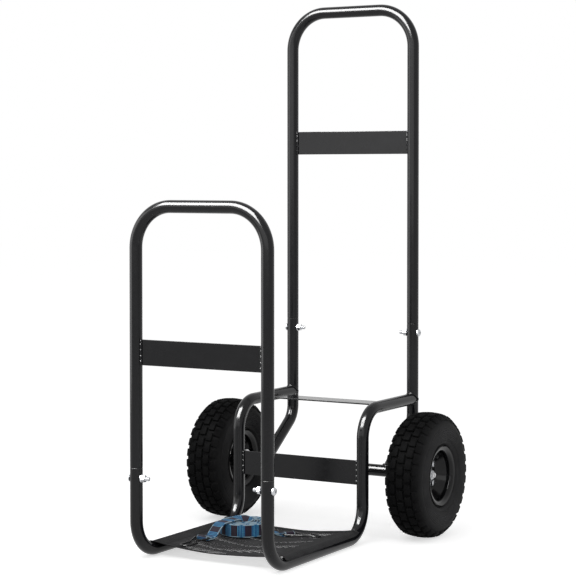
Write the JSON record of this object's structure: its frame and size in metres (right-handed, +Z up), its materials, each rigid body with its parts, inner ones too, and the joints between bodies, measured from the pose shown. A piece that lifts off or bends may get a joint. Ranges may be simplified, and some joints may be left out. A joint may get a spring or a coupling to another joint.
{
  "type": "log cart",
  "caption": "Upright firewood cart: a bent-tube frame with a front hoop and a tall handle, treaded wheels at the back, a mesh cloth on its ground rails and a rolled strap.",
  "frame": {"origin": "on the ground, under the middle of the whole cart's box", "axes": "+Z up, +Y from the front hoop to the handle, +X to the right seen from the front"},
  "size_m": [0.5642, 0.635, 1.115],
  "materials": {
    "frame_paint": "satin black powder coat",
    "rim_paint": "gloss black paint",
    "zinc_plate": "bright zinc plate",
    "steel": "turned",
    "bronze": "sintered",
    "tyre": "matt black",
    "tube_rubber": "smooth",
    "net": "open dark-grey mesh",
    "band": "woven black band",
    "webbing": "elastic webbing in two blues with dark cross stripes",
    "wire_paint": "dipped black"
  },
  "bodies": {
    "cart": {"axle_rod": "steel", "axle_tube": "frame_paint", "deck_cross_plate": "frame_paint", "front_cross_plate": "frame_paint", "front_frame": "frame_paint", "handle_cross_plate": "frame_paint", "handle_frame": "frame_paint", "left_axle_bush": "bronze", "left_axle_nut": "zinc_plate", "left_axle_washer": "zinc_plate", "left_base_rail": "frame_paint", "left_front_bolt": "zinc_plate", "left_front_nut": "zinc_plate", "left_handle_bolt": "zinc_plate", "left_handle_nut": "zinc_plate", "left_rear_leg": "frame_paint", "mesh_left_band": "band", "mesh_net": "net", "mesh_right_band": "band", "right_axle_bush": "bronze", "right_axle_nut": "zinc_plate", "right_axle_washer": "zinc_plate", "right_base_rail": "frame_paint", "right_front_bolt": "zinc_plate", "right_front_nut": "zinc_plate", "right_handle_bolt": "zinc_plate", "right_handle_nut": "zinc_plate", "right_rear_leg": "frame_paint", "riser_cross_plate": "frame_paint", "strap_inner_hook": "wire_paint", "strap_outer_hook": "wire_paint", "strap_roll": "webbing"},
    "left_wheel": {"left_tyre": "tyre", "left_inner_tube": "tube_rubber", "left_outer_rim": "rim_paint", "left_inner_rim": "rim_paint", "left_hub": "rim_paint", "left_outer_bearing": "steel", "left_inner_bearing": "steel", "left_rim_bolt_1": "zinc_plate", "left_rim_bolt_2": "zinc_plate", "left_rim_bolt_3": "zinc_plate", "left_rim_bolt_4": "zinc_plate"},
    "right_wheel": {"right_tyre": "tyre", "right_inner_tube": "tube_rubber", "right_outer_rim": "rim_paint", "right_inner_rim": "rim_paint", "right_hub": "rim_paint", "right_outer_bearing": "steel", "right_inner_bearing": "steel", "right_rim_bolt_1": "zinc_plate", "right_rim_bolt_2": "zinc_plate", "right_rim_bolt_3": "zinc_plate", "right_rim_bolt_4": "zinc_plate"}
  },
  "joints": [
    {"name": "left_wheel_spin", "type": "hinge", "parent": "cart", "child": "left_wheel", "pos_m": [-0.239, 0.185, 0.129], "axis": [1, 0, 0], "continuous": true},
    {"name": "right_wheel_spin", "type": "hinge", "parent": "cart", "child": "right_wheel", "pos_m": [0.239, 0.185, 0.129], "axis": [1, 0, 0], "continuous": true}
  ]
}
